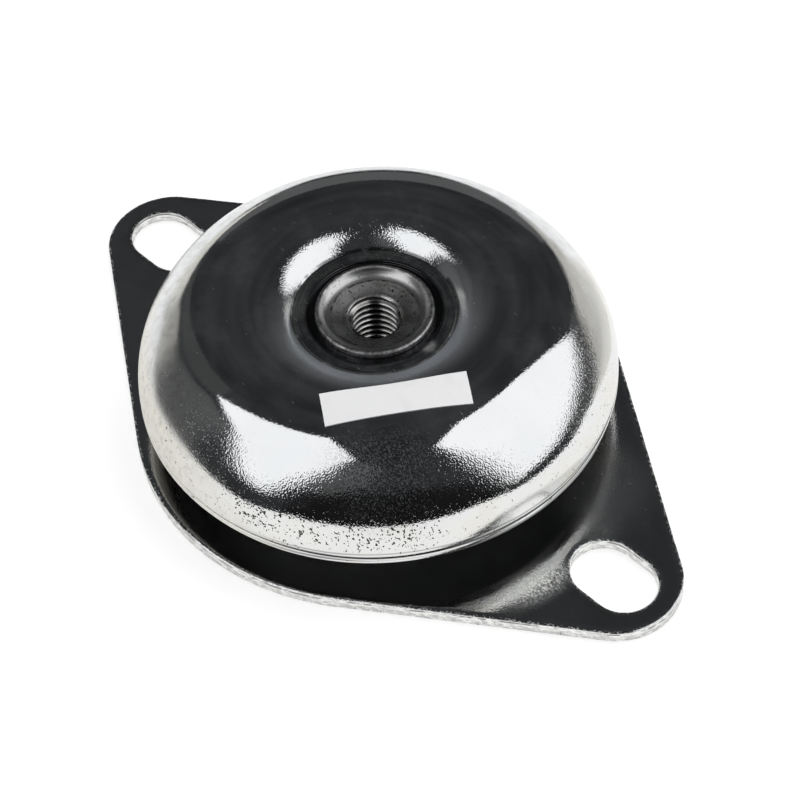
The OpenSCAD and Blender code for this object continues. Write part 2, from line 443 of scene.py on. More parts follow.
# Painted shade: a broken dark line where the dish floor meets its wall.
outline = zinc.product(zinc.band(radius, 18.0 * mm, 0.15 * mm, 0.50 * mm),
                       zinc.range(zinc.cloud(260.0, 3.0), 0.34, 0.50), 0.8)
scratches = zinc.most(zinc.dashes(25.0, 0.8 * mm, 0.10 * mm, 0.004),
                      zinc.dashes(-60.0, 0.6 * mm, 0.10 * mm, 0.004))
print("with scuffs, rings and smears:", len(zinc.tree.nodes), "nodes")

# %% [markdown]
# On the front of the crown the grain shows as dark grit between the two lamps' reflections. Pale grit
# there and single bright specks to the left and to the right of them are painted glints.

# %% Grit and painted glints
gritty = zinc.product(zinc.near(gritty_front, 5.0 * mm, 16.0 * mm),
                      zinc.range(height, 37.5 * mm, 34.5 * mm))
grit = zinc.cloud(2600.0, 1.0)
dark_grit = zinc.product(zinc.range(grit, 0.46, 0.60), gritty, 0.7)
# Painted glints: pale grit between the lamps' reflections.
painted_pale_grit = zinc.product(zinc.range(grit, 0.48, 0.34), gritty)
# Painted glints: pale specks near the edges of the lamps' reflections.
painted_glint_zone = zinc.most(zinc.near(painted_glints_right, 6.0 * mm, 18.0 * mm),
                     zinc.near(painted_glints_left, 5.0 * mm, 14.0 * mm))
painted_glints = zinc.product(zinc.range(zinc.cloud(3300.0, 0.0), 0.70, 0.77), slope, painted_glint_zone)
print("with grit and glints:", len(zinc.tree.nodes), "nodes")

# %% [markdown]
# The colour is laid on in coats, from the clean zinc up to the dirt, with painted shade and painted
# light among them. A metal's colour tints what it mirrors, so dark coats dim the reflections. The haze,
# the painted highlight, the painted glints and the pale grit are a little less of a metal, so the fill
# lamp lights them as it lights paint.

# %% Zinc of the dome
dome_colour = zinc.coats(
    zinc.mix(clouds, clean_zinc, (0.71, 0.725, 0.74)),
    (zinc.product(skirt, 0.8), (0.72, 0.72, 0.70)),
    (stain, (0.70, 0.68, 0.62)),
    (tarnish, (0.46, 0.46, 0.44)),
    (creamy, (0.66, 0.64, 0.58)),
    (mottle, (0.33, 0.31, 0.26)),
    (scuffs, (0.16, 0.16, 0.17)),
    # Painted shade in the crease above the lip.
    (crease_shade, (0.05, 0.05, 0.05)),
    # Rubbed haze, and the painted highlight spot.
    (haze_and_highlight, (0.66, 0.70, 0.76)),
    (dish_floor, zinc.mix(smears, (0.48, 0.48, 0.47), (0.96, 0.96, 0.93))),
    (worn, (0.24, 0.24, 0.25)),
    # Painted shade at the dish floor's edge, and dirt and painted shade in the groove.
    (zinc.most(outline, groove_dirt_and_shade), (0.07, 0.07, 0.075)),
    (pits, pit_colour),
    # Painted glints.
    (painted_glints, (0.90, 0.91, 0.93)),
    (dark_grit, (0.26, 0.26, 0.27)))
dome_metal = zinc.weighed(1.0, (haze_and_highlight, -0.22), (film, -0.03), (scratches, -0.10), (painted_glints, -0.60),
                          (painted_pale_grit, -0.065))
dome_gloss = zinc.weighed(0.02, (zinc.cloud(120.0, 4.0), 0.04), (duller, 0.10), (aged, 0.20), (haze_and_highlight, 0.36),
                          (dish_floor, 0.12), (pits, 0.4), (scratches, 0.2))
clear_dish = zinc.product(dish, zinc.range(haze_and_highlight, 0.5, 0.0))
dome_lift = zinc_grain(zinc, zinc.weighed(0.25, (slope, 0.45), (furry, 1.8), (clear_dish, 2.0)),
                       zinc.weighed(0.3, (slope, 1.0), (dish, 0.7)))
dome_lift = zinc.bump(zinc.product(lines, lip, scuffed), 0.05 * mm, dome_lift)
dome_lift = zinc.bump(zinc.product(rings, dish_floor), 0.02 * mm, dome_lift)
dome_lift = zinc.bump(pits, -0.03 * mm, dome_lift)
dome_zinc = zinc.set(Base_Color=dome_colour, Metallic=dome_metal, Roughness=dome_gloss, Normal=dome_lift)
print("zinc of the dome:", len(zinc.tree.nodes), "nodes")

# %% [markdown]
# The plate has the same plating, flat and with hardly a pit. Beside one slot it is duller, and a
# grey-white band painted there along an arc about the axis, hatched by the specks, is a painted
# reflection of the dome's skirt. Along its rolled edges the shears have thrown up a fringe of tiny
# bright burrs, just below the upper face.

# %% Zinc of the plate
# The radius and places of the painted reflection of the dome's skirt.
reflection_band_r = 61.5 * mm
reflection_middle = at(60.2, -12.5, 3.0)
reflection_end = at(60.6, 2.0, 3.0)
dulled_middle = at(53.0, 16.0, 3.0)


def plate_finish():
    finish = Finish("plate zinc")
    height = finish.height()
    rolled = finish.product(finish.range(height, 2.99 * mm, 2.85 * mm),
                            finish.range(height, 2.0 * mm, 2.2 * mm))
    specks = finish.crossed((35.0, 0.45 * mm, 0.25 * mm), (-50.0, 0.45 * mm, 0.25 * mm))
    burrs = finish.product(rolled, finish.range(specks, 0.62, 0.68))
    scratches = finish.most(finish.dashes(15.0, 0.7 * mm, 0.10 * mm, 0.006),
                            finish.dashes(-70.0, 0.6 * mm, 0.10 * mm, 0.006))
    dull = finish.cloud(90.0, 4.0)
    film = finish.range(finish.cloud(60.0, 7.0, roughness=0.7), 0.46, 0.76)
    reflection_patch = finish.most(finish.near(reflection_middle, 1.0 * mm, 11.5 * mm),
                        finish.product(finish.near(reflection_end, 2.0 * mm, 12.0 * mm), 0.12))
    hatched = finish.weighed(0.45, (finish.range(specks, 0.50, 0.64), 0.80))
    # Painted reflection: the bloom is a grey-white band of the dome's skirt, mostly paint, not metal.
    bloom = finish.product(finish.band(finish.radius(), reflection_band_r, 0.0, 6.0 * mm), reflection_patch, hatched,
                           finish.range(height, 1.0 * mm, 2.6 * mm),
                           finish.range(finish.cloud(1700.0, 4.0, roughness=0.8), 0.28, 0.58))
    dulled = finish.most(bloom, finish.near(dulled_middle, 6.0 * mm, 18.0 * mm))
    colour = finish.coats(
        finish.mix(finish.range(dull, 0.40, 0.66), clean_zinc, (0.66, 0.66, 0.64)),
        (finish.range(specks, 0.80, 0.84), pit_colour),
        # The painted reflection.
        (bloom, finish.mix(dull, (0.80, 0.79, 0.70), (0.88, 0.93, 0.92))),
        (burrs, (0.90, 0.90, 0.89)))
    gloss = finish.weighed(0.06, (dull, 0.08), (scratches, 0.15), (burrs, 0.35), (dulled, 0.16))
    metal = finish.weighed(1.0, (bloom, -0.80), (film, -0.006))
    lift = finish.bump(burrs, 0.06 * mm, zinc_grain(finish, 0.8, 0.25))
    return finish.set(Base_Color=colour, Metallic=metal, Roughness=gloss, Normal=lift)


plate_zinc = plate_finish()
print("zinc of the plate:", len(plate_zinc.node_tree.nodes), "nodes")

# %% [markdown]
# Where the press has sheared the sheet, the cut face is rougher. It has fine streaks that run along
# the edge, a broken dark seam, torn darker places in its lower half and small chips, so it takes
# the light from everywhere and looks pale.

# %% Sheared edges
seam_z = 2.35 * mm


def sheared_edge():
    finish = Finish("sheared edge")
    height = finish.height()
    streaks = finish.cloud(1.0, 3.0, finish.stretched((600.0, 600.0, 1900.0)))
    torn = finish.product(finish.range(height, 1.9 * mm, 1.1 * mm),
                          finish.range(finish.cloud(900.0, 3.0), 0.40, 0.60))
    seam = finish.product(finish.band(height, seam_z, 0.14 * mm, 0.34 * mm),
                          finish.range(finish.cloud(330.0, 3.0), 0.46, 0.56), 0.8)
    specks = finish.crossed((35.0, 0.8 * mm, 0.25 * mm), (-50.0, 0.6 * mm, 0.25 * mm))
    chips = finish.most(finish.range(specks, 0.73, 0.78), seam)
    colour = finish.coats(
        finish.mix(finish.range(streaks, 0.38, 0.62), (0.64, 0.64, 0.63), (0.90, 0.90, 0.88)),
        (finish.product(torn, 0.35), (0.42, 0.42, 0.41)),
        (chips, (0.10, 0.10, 0.10)))
    rough = finish.weighed(0.30, (streaks, 0.2), (torn, 0.2))
    lift = finish.bump(streaks, 0.04 * mm)
    lift = finish.bump(finish.cloud(2200.0, 2.0), 0.02 * mm, lift)
    lift = finish.bump(chips, -0.06 * mm, lift)
    return finish.set(Base_Color=colour, Metallic=1.0, Roughness=rough, Normal=lift)


cut_zinc = sheared_edge()
print("sheared edge:", len(cut_zinc.node_tree.nodes), "nodes")

# %% [markdown]
# The insert is turned steel. The lathe tool leaves rings about its axis, and handling leaves oil
# and dirt in them, with black specks on the face round the thread. The thread's flanks are painted
# near black as shade, so only its crests shine, and the riveting tool has rubbed the lip rough.

# %% Turned steel
insert_face_r = 9.6 * mm
crests_r = 5.20 * mm
flanks_r = 5.50 * mm


def turned_steel():
    finish = Finish("turned steel")
    height = finish.height()
    radius = finish.radius()
    rings = finish.cloud(1.0, 2.0, finish.round_place(5200.0, 0.6, 5200.0))
    coarse = finish.cloud(1.0, 1.0, finish.round_place(1500.0, 1.2, 1500.0))
    face = finish.product(finish.range(radius, 10.0 * mm, 9.2 * mm),
                          finish.range(radius, 5.6 * mm, 6.2 * mm))
    oil = finish.range(finish.cloud(160.0, 4.0), 0.36, 0.62)
    specks = finish.crossed((35.0, 0.5 * mm, 0.3 * mm), (-50.0, 0.5 * mm, 0.3 * mm))
    specks = finish.range(finish.weighed(specks, (face, 0.06)), 0.72, 0.76)
    step = finish.product(finish.band(radius, insert_face_r, 0.10 * mm, 0.30 * mm),
                          finish.range(finish.cloud(420.0, 4.0, roughness=0.65), 0.47, 0.62), 0.85)
    lip = finish.range(radius, 11.7 * mm, 12.2 * mm)
    rubbed = finish.product(lip, finish.range(finish.cloud(640.0, 5.0, roughness=0.75), 0.42, 0.60))
    in_thread = finish.range(height, lip_top_z - 3.9 * mm, lip_top_z - 4.2 * mm)
    in_bore = finish.product(finish.range(radius, 6.50 * mm, 6.30 * mm),
                             finish.range(height, insert_low.z + 1 * mm, insert_low.z + 2 * mm))
    # Painted shade: the flanks of the thread, between its crests.
    thread_shade = finish.product(finish.range(radius, crests_r, flanks_r), in_thread, in_bore)
    colour = finish.coats(
        finish.mix(oil, (0.60, 0.60, 0.60), (0.38, 0.37, 0.36)),
        (finish.range(radius, insert_face_r, insert_face_r + 0.5 * mm), (0.60, 0.60, 0.60)),
        (finish.product(rubbed, 0.75), (0.14, 0.14, 0.14)),
        # Painted shade in the thread.
        (thread_shade, (0.10, 0.10, 0.10)),
        (finish.most(specks, step), (0.03, 0.03, 0.03)))
    rough = finish.weighed(0.14, (finish.range(radius, 6.2 * mm, 10.0 * mm), 0.11), (coarse, 0.10),
                           (face, 0.12), (lip, 0.12), (rubbed, 0.10), (specks, 0.4))
    lift = finish.bump(rings, 0.012 * mm)
    lift = finish.bump(coarse, 0.016 * mm, lift)
    lift = finish.bump(finish.product(finish.cloud(1700.0, 1.0), face), 0.02 * mm, lift)
    lift = finish.bump(rubbed, 0.02 * mm, lift)
    lift = finish.bump(specks, -0.03 * mm, lift)
    return finish.set(Base_Color=colour, Metallic=1.0, Roughness=rough, Normal=lift)


steel = turned_steel()
print("turned steel:", len(steel.node_tree.nodes), "nodes")

# %% [markdown]
# Rubber is black, but not evenly so: it has a greyish bloom, a dull skin and crumbs that the mould
# left on it.

# %% Rubber
def moulded_rubber():
    finish = Finish("moulded rubber")
    bloom = finish.range(finish.cloud(140.0, 4.0), 0.45, 0.75)
    skin = finish.cloud(1500.0, 3.0)
    crumbs = finish.pits(0.35 * mm, 0.10)
    colour = finish.mix(bloom, (0.016, 0.016, 0.017), (0.045, 0.045, 0.048))
    rough = finish.weighed(0.55, (bloom, 0.2))
    lift = finish.bump(skin, 0.03 * mm)
    lift = finish.bump(crumbs, 0.06 * mm, lift)
    return finish.set(Base_Color=colour, Roughness=rough, Normal=lift)


rubber = moulded_rubber()
print("moulded rubber:", len(rubber.node_tree.nodes), "nodes")

# %% [markdown]
# The label is white paper. Its fibres show as a faint grain, and handling has greyed it a little.

# %% Label paper
def label_paper():
    finish = Finish("label paper")
    fibres = finish.cloud(2200.0, 3.0, finish.stretched((1.0, 0.4, 1.0), -35.0))
    soil = finish.range(finish.cloud(160.0, 4.0), 0.55, 0.8)
    colour = finish.coats(
        finish.mix(fibres, (0.90, 0.90, 0.91), (0.95, 0.95, 0.955)),
        (finish.product(soil, 0.35), (0.72, 0.71, 0.70)))
    lift = finish.bump(fibres, 0.006 * mm)
    return finish.set(Base_Color=colour, Roughness=0.55, Normal=lift)


paper = label_paper()
print("label paper:", len(paper.node_tree.nodes), "nodes")

# %% [markdown]
# The dome began as a flat disc of steel sheet. The press drew it into a bell with an upright lip at
# the rim, a shoulder that is a quarter of an ellipse in section, and a dish in the crown. Its two
# faces are drawn with the same two curves at two depths, so the sheet is as thick as a real one.

# %% Section of the dome
dome_sheet = 2.5 * mm
lip_h = 2.0 * mm
dish_floor_r = 17.9 * mm
dish_bend_r = 12.0 * mm
dish_slope = 50.0
groove_r = 14.6 * mm
groove_depth = 0.5 * mm
shank_hole_r = 11.1 * mm

shoulder_z = rim_z + lip_h
crown_r = dish_floor_r + dish_bend_r * math.sin(math.radians(dish_slope))
shoulder_w = dome_r - crown_r
shoulder_h = crown_z - shoulder_z
dish_floor_z = crown_z - dish_bend_r * (1 - math.cos(math.radians(dish_slope)))
dome_under_z = dish_floor_z - dome_sheet


def shoulder(angle, depth):
    """A point of the shoulder, depth below the outer face."""
    a = math.radians(angle)
    normal = Vector((math.cos(a) / shoulder_w, math.sin(a) / shoulder_h)).normalized()
    x = crown_r + shoulder_w * math.cos(a) - depth * normal.x
    return (x, shoulder_z + shoulder_h * math.sin(a) - depth * normal.y)


def dome_face(depth, start=0.0, steps=56):
    """The dome's section from the shoulder over the crown and into the dish."""
    floor = dish_floor_z - min(depth, dome_sheet)
    under = dish_bend_r - depth
    end = 180 - math.degrees(math.asin((floor - crown_z + dish_bend_r) / under))
    points = [shoulder(start + (90 - start) * i / steps, depth) for i in range(steps + 1)]
    return points + arc((crown_r, crown_z - dish_bend_r), under, 90, end, 20)[1:]


print(f"crown radius {crown_r / mm:.2f} mm, dish floor at {dish_floor_z / mm:.2f} mm")

# %% Make the dome
def dome_section():
    """The outer side from the rim over the crown to the hole for the shank, and the inner side back."""
    outer = dome_face(0.0)
    inner = dome_face(dome_sheet)
    edge = 0.35 * mm
    step = 0.12 * mm
    crease_z = shoulder_z - 0.1 * mm
    rim = arc((dome_r - dome_sheet + edge, rim_z + edge), edge, 180, 270, 4)
    rim += arc((dome_r - edge, rim_z + edge), edge, -90, 0, 5)
    rim += [(dome_r, crease_z - 2 * step), (dome_r - 0.4 * step, crease_z - step)]
    rim += [(dome_r - step, crease_z), (dome_r - 0.5 * step, crease_z + 0.8 * step)]
    floor_z = dish_floor_z
    low_z = floor_z - groove_depth
    bend = 0.25 * mm
    floor = [(dish_floor_r - 0.3 * mm, floor_z), (groove_r + 2 * bend, floor_z)]
    floor += arc((groove_r + bend, floor_z - bend), bend, 90, 180, 4)
    floor += arc((groove_r - bend, low_z + bend), bend, 0, -90, 3)[1:]
    floor += [(shank_hole_r, low_z), (shank_hole_r, dome_under_z)]
    return rim + outer[1:] + floor + inner[::-1]


# %% Marks of the press
waves_a_metre = 28.0
wave_depth = 0.10 * mm
wave_offset = 0.02 * mm
wave_start = 8.0 * mm


def press_marks(p):
    """The pressing is not quite true: its wall waves by a few hundredths of a millimetre."""
    wave = noise.noise(p * waves_a_metre) * wave_depth
    out = Vector((p.x, p.y, 0.0)).normalized()
    share = min(1.0, max(0.0, (out.dot(p) - dish_floor_r) / wave_start))
    return p + out * min(0.0, wave - wave_offset) * share


dome_points, dome_faces = turned(dome_section(), 300, shape=press_marks)
dome = add_piece("pressed_dome", dome_points, dome_faces, [dome_zinc])
seat(dome, "dome", "dome_cover", "zinc_dome")

# %% [markdown]
# The base plate is one sheet too. Its outline is a round waist and two round ends, joined by their
# common tangents. Its middle is pressed up into a low hat with a hole, which carries the rubber.
# The sheet is flat at the slots, so its height depends only on the distance from the axis.

# %% Heights of the plate
plate_t = 3.0 * mm
slot_x = 70.5 * mm
end_r = plate_high.x - slot_x
slot_r = 7.4 * mm
slot_run = 2.7 * mm
foot_r = 43.0 * mm
foot_bend_r = 5.0 * mm
crest_bend_r = 5.0 * mm
wall_slope = 60.0
raised_hole_r = 19.0 * mm

wall = math.radians(wall_slope)
bends = foot_bend_r + crest_bend_r
wall_rise = raised_z - plate_t - bends * (1 - math.cos(wall))
crest_r = foot_r - bends * math.sin(wall) - wall_rise / math.tan(wall)


def pressed_z(r, depth):
    """Height of the plate's upper face, or of its lower face at a depth of the sheet's thickness."""
    foot = foot_bend_r + depth
    crest = crest_bend_r - depth
    foot_in = foot_r - foot * math.sin(wall)
    crest_out = crest_r + crest * math.sin(wall)
    if r >= foot_r:
        return plate_t - depth
    if r >= foot_in:
        return plate_t + foot_bend_r - math.sqrt(foot ** 2 - (foot_r - r) ** 2)
    if r > crest_out:
        foot_top = plate_t + foot_bend_r - foot * math.cos(wall)
        return foot_top + (foot_in - r) * math.tan(wall)
    if r > crest_r:
        return raised_z - crest_bend_r + math.sqrt(crest ** 2 - (r - crest_r) ** 2)
    return raised_z - depth


print(f"the raised middle is flat out to {crest_r / mm:.2f} mm and ends at {foot_r / mm:.2f} mm")

# %% [markdown]
# A sheared sheet has a soft, rolled edge on the side where the punch went in, and a small sharp one
# on the other. So each outline is drawn many times: moved into the sheet for the upper face, out in
# steps over the roll, down the wall and in again at the bottom. Strips of faces join these loops.
# The flat faces between the loops are cut into triangles, and rings follow the raised middle.

# %% Outlines of the plate
tangent = math.acos((waist_r - end_r) / slot_x)
full_turn = 2 * math.pi


def round_points(x, radius, start, end, steps):
    """Points (x, y) along an arc about a centre on the X axis, between two angles in radians."""
    angles = [start + (end - start) * i / steps for i in range(steps + 1)]
    return [(x + radius * math.cos(a), radius * math.sin(a)) for a in angles]


def with_straights(corners, steps):
    """Adds points along the straight runs of a closed loop, which are its long gaps."""
    loop = []
    for i, a in enumerate(corners):
        b = corners[(i + 1) % len(corners)]
        cuts = steps if math.dist(a, b) > 4 * mm else 1
        for k in range(cuts):
            loop.append((a[0] + (b[0] - a[0]) * k / cuts, a[1] + (b[1] - a[1]) * k / cuts))
    return loop


def plate_loop(inset):
    """The plate's outline, moved into the sheet by inset."""
    end = end_r - inset
    waist = waist_r - inset
    corners = round_points(slot_x, end, -tangent, tangent, 40)
    corners += round_points(0, waist, tangent, math.pi - tangent, 56)
    corners += round_points(-slot_x, end, math.pi - tangent, math.pi + tangent, 40)
    corners += round_points(0, waist, math.pi + tangent, full_turn - tangent, 56)
    return with_straights(corners, 40)


def slot_loop(side):
    """Gives the function that draws the slot on that side, moved into the sheet by inset."""
    def loop(inset):
        half = math.pi / 2
        corners = round_points(side * slot_x + slot_run, slot_r + inset, -half, half, 32)
        corners += round_points(side * slot_x - slot_run, slot_r + inset, half, 3 * half, 32)
        return with_straights(corners, 8)
    return loop


def hole_loop(inset):
    """The hole of the raised middle, moved into the sheet by inset."""
    return round_points(0, raised_hole_r + inset, 0, full_turn, 240)[:-1]


print(f"the straight sides leave the waist {math.degrees(tangent):.1f} degrees from the long axis")

# %% Rolled edges of the plate
roll_in = 1.4 * mm
roll_down = 0.32 * mm
burr_in = 0.15 * mm
guard = 0.25 * mm
roll_steps = 5
rag_noise = 500.0
tear_noise = 900.0
tear_depth = 0.05 * mm
zinc_slot = 0
cut_slot = 1


def edge_steps():
    """(inset, share of the wall, drop) of each loop, from the upper face over the roll to the lower."""
    steps = []
    for i in range(roll_steps + 1):
        a = math.pi / 2 * i / roll_steps
        steps.append((roll_in * (1 - math.sin(a)), 0.0, roll_down * (1 - math.cos(a))))
    steps += [(0.0, 0.3, roll_down), (0.0, 0.6, roll_down), (0.0, 0.85, roll_down)]
    steps += [(0.02 * mm, 0.97, roll_down), (burr_in, 1.0, roll_down)]
    return steps


def edge_strip(loop, points, faces, slots):
    """Adds the strip of faces round one outline, ragged at the end of its roll and torn below."""
    rings = []
    for inset, share, drop in edge_steps():
        ring = []
        for x, y in loop(inset):
            r = math.hypot(x, y)
            ragged = 0.4 + 0.8 * noise.noise(Vector((x, y, 0)) * rag_noise)
            top = pressed_z(r, 0) - drop * (1 + ragged * (drop / roll_down) ** 4)
            z = top + (pressed_z(r, plate_t) - top) * share
            if loop is plate_loop and 0 < share < 0.9:
                tear = 1 - tear_depth / r * (1 + noise.noise(Vector((x, y, z)) * tear_noise))
                x *= tear
                y *= tear
            ring.append(len(points))
            points.append((x, y, z))
        rings.append(ring)
    for row in range(len(rings) - 1):
        for i in range(len(rings[0])):
            n = (i + 1) % len(rings[0])
            faces.append((rings[row][i], rings[row + 1][i], rings[row + 1][n], rings[row][n]))
            slots.append(cut_slot if row >= roll_steps - 1 else zinc_slot)


print(f"{len(edge_steps())} loops from the top to the bottom of each edge")

# %% Flat faces of the plate
ring_end_r = 46.0 * mm
inside_only = 1


def in_hole(x, y, inset):
    """True inside a slot, or inside the round middle that the rings fill."""
    beyond = max(abs(abs(x) - slot_x) - slot_run, 0.0)
    in_slot = math.hypot(beyond, y) < slot_r + inset - 0.01 * mm
    return in_slot or math.hypot(x, y) < ring_end_r - 0.05 * mm


def flange_face(inset, depth, points, faces, slots):
    """Adds the upper or lower face of the flange, cut into triangles between its outlines.

    A point in the middle keeps the triangles of the round hole well inside it, where they are left out.
    """
    flat = []
    bounds = []
    loops = [plate_loop, slot_loop(1), slot_loop(-1)]
    rims = [loop(inset) for loop in loops] + [loop(inset + guard) for loop in loops]
    rims.append(round_points(0, ring_end_r, 0, full_turn, 240)[:-1])
    for rim in rims:
        first = len(flat)
        flat += rim
        bounds += [(first + i, first + (i + 1) % len(rim)) for i in range(len(rim))]
    flat.append((0.0, 0.0))
    cut = delaunay_2d_cdt([Vector(p) for p in flat], bounds, [], inside_only, 1e-9)
    first = len(points)
    points.extend((p.x, p.y, pressed_z(p.length, depth)) for p in cut[0])
    for face in cut[2]:
        middle = sum((cut[0][i] for i in face), Vector((0, 0))) / len(face)
        if not in_hole(middle.x, middle.y, inset):
            faces.append(tuple(first + i for i in face))
            slots.append(zinc_slot)


def middle_face(inset, depth, points, faces, slots):
    """Adds the upper or lower face of the raised middle, from its hole out to the flange."""
    radii = [raised_hole_r + inset, raised_hole_r + inset + guard, 26 * mm, 34 * mm]
    bend_start = crest_r - 1 * mm
    radii += [bend_start + (ring_end_r - bend_start) * i / 44 for i in range(45)]
    section = [(r, pressed_z(r, depth)) for r in radii]
    first = len(points)
    more_points, more_faces = turned(section, 240, closed=False)
    points.extend(more_points)
    faces.extend(tuple(first + i for i in face) for face in more_faces)
    slots.extend([zinc_slot] * len(more_faces))


# %% Make the plate
def make_plate():
    points = []
    faces = []
    slots = []
    for loop in (plate_loop, slot_loop(1), slot_loop(-1), hole_loop):
        edge_strip(loop, points, faces, slots)
    for inset, depth in ((roll_in, 0.0), (burr_in, plate_t)):
        flange_face(inset, depth, points, faces, slots)
        middle_face(inset, depth, points, faces, slots)
    return points, faces, slots


plate_points, plate_faces, plate_slots = make_plate()
plate = add_piece("pressed_plate", plate_points, plate_faces, [plate_zinc, cut_zinc])
paint(plate, plate_slots)
seat(plate, "base", "base_plate", "zinc_plate")

# %% [markdown]
# The insert is a turned bush. Its lip is riveted over the dome, its collar holds the dome from
# below, and its lower end carries the washer. A real thread is cut inside it: M12, with a pitch of
# 1.75 mm. A thread is a section that climbs by one pitch in each turn, so the rows of the mesh climb
# with it, and the last column of a turn joins the first column one pitch higher.

# %% Thread of the insert
pitch = 1.75 * mm
bore_r = 5.1 * mm
mouth_r = 6.1 * mm
mouth_z = lip_top_z - 3.0 * mm
bore_tip_z = insert_low.z + 2.3 * mm
drill_angle = math.radians(118)
bore_end_z = bore_tip_z + bore_r / math.tan(drill_angle / 2)
thread_form = [(0.0, 0.0), (0.10, 0.0), (0.24, 0.03), (0.52, 0.86), (0.58, 0.90), (0.66, 0.90), (0.72, 0.86)]
thread_run_out = 3.0 * mm
insert_turns = 192


def thread_radius(z, depth):
    """Radius of a point of the thread: it fades out at the bottom and opens into the mouth."""
    fade = min(1.0, max(0.0, (z - bore_end_z - thread_run_out) / pitch))
    cone = mouth_r - (mouth_z - z)
    return max(bore_r + depth * fade, cone)


def make_thread(points, faces):
    """Adds the threaded wall of the bore, from its drilled end up to its mouth."""
    rows = []
    last_turn = math.ceil((mouth_z - bore_end_z) / pitch) + 1
    for turn in range(-1, last_turn):
        rows += [(bore_end_z + (turn + share) * pitch, depth * mm) for share, depth in thread_form]
    first = len(points)
    for i in range(insert_turns):
        a = 2 * math.pi * i / insert_turns
        for z, depth in rows:
            height = min(mouth_z, max(bore_end_z, z + pitch * i / insert_turns))
            r = thread_radius(height, depth)
            points.append((r * math.cos(a), r * math.sin(a), height))
    for i in range(insert_turns):
        here = first + i * len(rows)
        there = first + (i + 1) % insert_turns * len(rows)
        climb = 0 if i + 1 < insert_turns else len(thread_form)
        for k in range(len(rows) - 1 - climb):
            faces.append((here + k, there + k + climb, there + k + 1 + climb, here + k + 1))


print(f"the thread is {(mouth_z - bore_end_z) / pitch:.1f} turns long")

# %% Make the insert
insert_lip_r = 13.0 * mm
face_drop = 1.8 * mm
lip_crest_r = 0.6 * mm
lip_foot_z = dish_floor_z - groove_depth
shank_r = 11.0 * mm
collar_r = 16.0 * mm
collar_z = dome_under_z - 4.0 * mm
stem_r = 12.0 * mm
spigot_r = 8.5 * mm
head_r = 10.25 * mm
centre_hole_r = 1.2 * mm
centre_hole_h = 0.3 * mm


def insert_section():
    """From the mouth of the bore over the lip, down the outside and in to the centre below."""
    face_z = lip_top_z - face_drop
    crest = arc((insert_lip_r - lip_crest_r, lip_top_z - lip_crest_r), lip_crest_r, 130, 0, 8)
    bowl_start = Vector((insert_face_r, face_z))
    bowl_end = Vector(crest[0])
    bowl = []
    for i in range(1, 10):
        s = i / 10
        sag = 0.30 * mm * math.sin(math.pi * s)
        p = bowl_start.lerp(bowl_end, s)
        bowl.append((p.x + 0.6 * sag, p.y - 0.8 * sag))
    face = [(mouth_r, mouth_z), (mouth_r + 0.15 * mm, mouth_z + 0.1 * mm)]
    face += [(mouth_r + (insert_face_r - mouth_r) * i / 6, mouth_z + (face_z - mouth_z) * i / 6)
             for i in range(1, 6)]
    face += [(insert_face_r - 0.12 * mm, face_z - 0.05 * mm), tuple(bowl_start)]
    below = rounded([
        (insert_lip_r, lip_top_z - lip_crest_r, 0),
        (insert_lip_r, lip_foot_z, 0.2 * mm),
        (shank_r, lip_foot_z, 0.05 * mm),
        (shank_r, dome_under_z, 0.05 * mm),
        (collar_r, dome_under_z, 0.4 * mm),
        (collar_r, collar_z, 0.5 * mm),
        (stem_r, collar_z, 0.3 * mm),
        (stem_r, washer_high.z, 0.3 * mm),
        (spigot_r, washer_high.z, 0.1 * mm),
        (spigot_r, washer_low.z, 0.1 * mm),
        (head_r, washer_low.z, 0.3 * mm),
        (head_r, insert_low.z, 0.6 * mm),
        (centre_hole_r, insert_low.z, 0.4 * mm),
        (centre_hole_r - 0.2 * mm, insert_low.z + centre_hole_h, 0),
    ], closed=False)
    return face + bowl + crest + below[1:]


def make_insert():
    """The turned section, its centre hole below, the tip of the drilling and the threaded wall."""
    section = insert_section()
    points, faces = turned(section, insert_turns, closed=False)
    last = len(section) - 1
    tip = len(points)
    points += [Vector((0, 0, bore_tip_z)), Vector((0, 0, insert_low.z + centre_hole_h))]
    cone = len(points)
    bore = round_points(0, bore_r, 0, full_turn, insert_turns)[:-1]
    points += [Vector((x, y, bore_end_z)) for x, y in bore]
    for i in range(insert_turns):
        n = (i + 1) % insert_turns
        faces.append((i * len(section) + last, n * len(section) + last, tip + 1))
        faces.append((cone + i, cone + n, tip))
    make_thread(points, faces)
    return points, faces


insert_points, insert_faces = make_insert()
insert = add_piece("turned_insert", insert_points, insert_faces, [steel])
seat(insert, "dome", "threaded_insert", "turned_steel")

# %% [markdown]
# The washer on the insert's lower end catches the plate if the mount is pulled apart, and a rubber
# ring on it softens the stop. Both are plain rings with rounded edges.

# %% Make the washer and its buffer
def ring(name, low, high, hole_r, edge, material, node, slot):
    """A ring with rounded edges, as wide and as high as its node."""
    corners = [(hole_r, low.z, edge), (high.x, low.z, edge), (high.x, high.z, edge), (hole_r, high.z, edge)]
    points, faces = turned(rounded(corners), 160)
    return seat(add_piece(name, points, faces, [material]), "dome", node, slot)


ring("catch_washer", washer_low, washer_high, spigot_r + 0.1 * mm, 0.35 * mm,
     plate_zinc, "rebound_washer", "zinc_plate")
ring("catch_buffer", buffer_low, buffer_high, stem_r + 0.1 * mm, 0.3 * mm,
     rubber, "rebound_buffer", "rubber")

# %% [markdown]
# The rubber is moulded between the plate's raised middle, the dome and the insert, and sticks to
# all of them. It is what gives: its foot stays with the plate and its top follows the dome when the
# dome sinks. Here it is one mesh that rides on neither body. A small play keeps its mesh from
# cutting through the steel.

